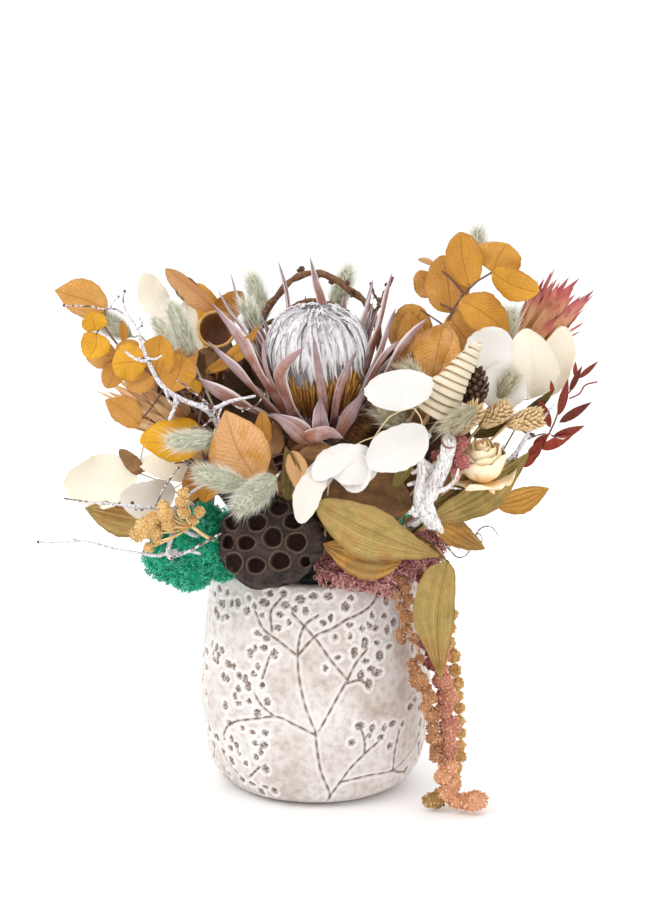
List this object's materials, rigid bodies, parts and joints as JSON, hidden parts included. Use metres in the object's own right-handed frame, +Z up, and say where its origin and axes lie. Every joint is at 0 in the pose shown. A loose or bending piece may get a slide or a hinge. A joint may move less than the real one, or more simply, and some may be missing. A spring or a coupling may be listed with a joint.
{
  "type": "vase of dried flowers",
  "caption": "Barrel-shaped cement pot with a pressed sprig relief, filled with a dome of dried flowers, leaves, pods, moss and trailing amaranth.",
  "frame": {"origin": "centre of the pot's flat base, on the surface it stands on", "axes": "+Z up out of the pot, -Y towards the arrangement's front, +X to its right as seen from the front"},
  "size_m": [0.3282, 0.2189, 0.35],
  "materials": {
    "cement": "matt whitewashed cement with a pressed sprig relief and brown wash in its grooves",
    "floral_foam": "dark matt crumbly foam",
    "lotus_pod": "dark brown dry wrinkled seed pod",
    "green_moss": "emerald dyed reindeer moss, matt and spongy",
    "pink_moss": "dusty pink dyed reindeer moss, matt and spongy",
    "protea": "mauve whitewashed dry bracts round a grey silky dome",
    "tan_protea": "orange-tan dry bracts",
    "bark": "brown dry seed husk and vine",
    "cream_cane": "cream peeled cane",
    "amber_leaf": "preserved amber eucalyptus leaf, satin",
    "bleached_leaf": "bleached off-white leaf, satin",
    "olive_leaf": "olive-gold dried leaf, satin",
    "bunny_tail": "sage soft bristled grass head",
    "straw": "straw coloured scaly grass head",
    "crimson_leaf": "crimson dyed leaf, satin",
    "rose_petal": "cream-yellow preserved petals",
    "white_wood": "whitewashed weathered wood",
    "yarrow": "tan dried flower clusters",
    "amaranth": "terracotta and gold knobbly dried flower strands"
  },
  "bodies": {
    "root": {"pot": "cement", "floral_foam": "floral_foam", "lotus_pod": "lotus_pod", "moss_green": "green_moss", "moss_back": "green_moss", "moss_pink": "pink_moss", "protea_king": "protea", "protea_back": "protea", "protea_left": "tan_protea", "protea_right": "tan_protea", "bell_cup": "bark", "dark_cone": "bark", "vine_arch": "bark", "cane_cone": "cream_cane", "eucalyptus_far_left": "amber_leaf", "eucalyptus_low_left": "amber_leaf", "eucalyptus_front": "amber_leaf", "eucalyptus_middle": "amber_leaf", "eucalyptus_top": "amber_leaf", "eucalyptus_right": "amber_leaf", "eucalyptus_mid_right": "amber_leaf", "eucalyptus_back": "amber_leaf", "white_leaves_front": "bleached_leaf", "white_leaves_middle": "bleached_leaf", "white_leaves_right": "bleached_leaf", "white_leaves_far_right": "bleached_leaf", "white_leaves_left": "bleached_leaf", "white_leaves_back": "bleached_leaf", "olive_leaf_front": "olive_leaf", "olive_leaf_trailing": "olive_leaf", "olive_leaf_right": "olive_leaf", "olive_leaf_left": "olive_leaf", "bunny_tail_1": "bunny_tail", "bunny_tail_2": "bunny_tail", "bunny_tail_3": "bunny_tail", "bunny_tail_4": "bunny_tail", "bunny_tail_5": "bunny_tail", "bunny_tail_6": "bunny_tail", "bunny_tail_7": "bunny_tail", "bunny_tail_8": "bunny_tail", "bunny_tail_9": "bunny_tail", "bunny_tail_10": "bunny_tail", "bunny_tail_11": "bunny_tail", "bunny_tail_12": "bunny_tail", "bunny_tail_13": "bunny_tail", "bunny_tail_14": "bunny_tail", "bunny_tails_back": "bunny_tail", "canary_grass_1": "straw", "canary_grass_2": "straw", "canary_grass_3": "straw", "red_ruscus": "crimson_leaf", "rose": "rose_petal", "driftwood": "white_wood", "twig_upper_left": "white_wood", "twig_lower_left": "white_wood", "twig_right": "white_wood", "yarrow": "yarrow", "amaranth_tuft": "amaranth", "amaranth_long": "amaranth", "amaranth_tan": "amaranth"}
  },
  "joints": []
}
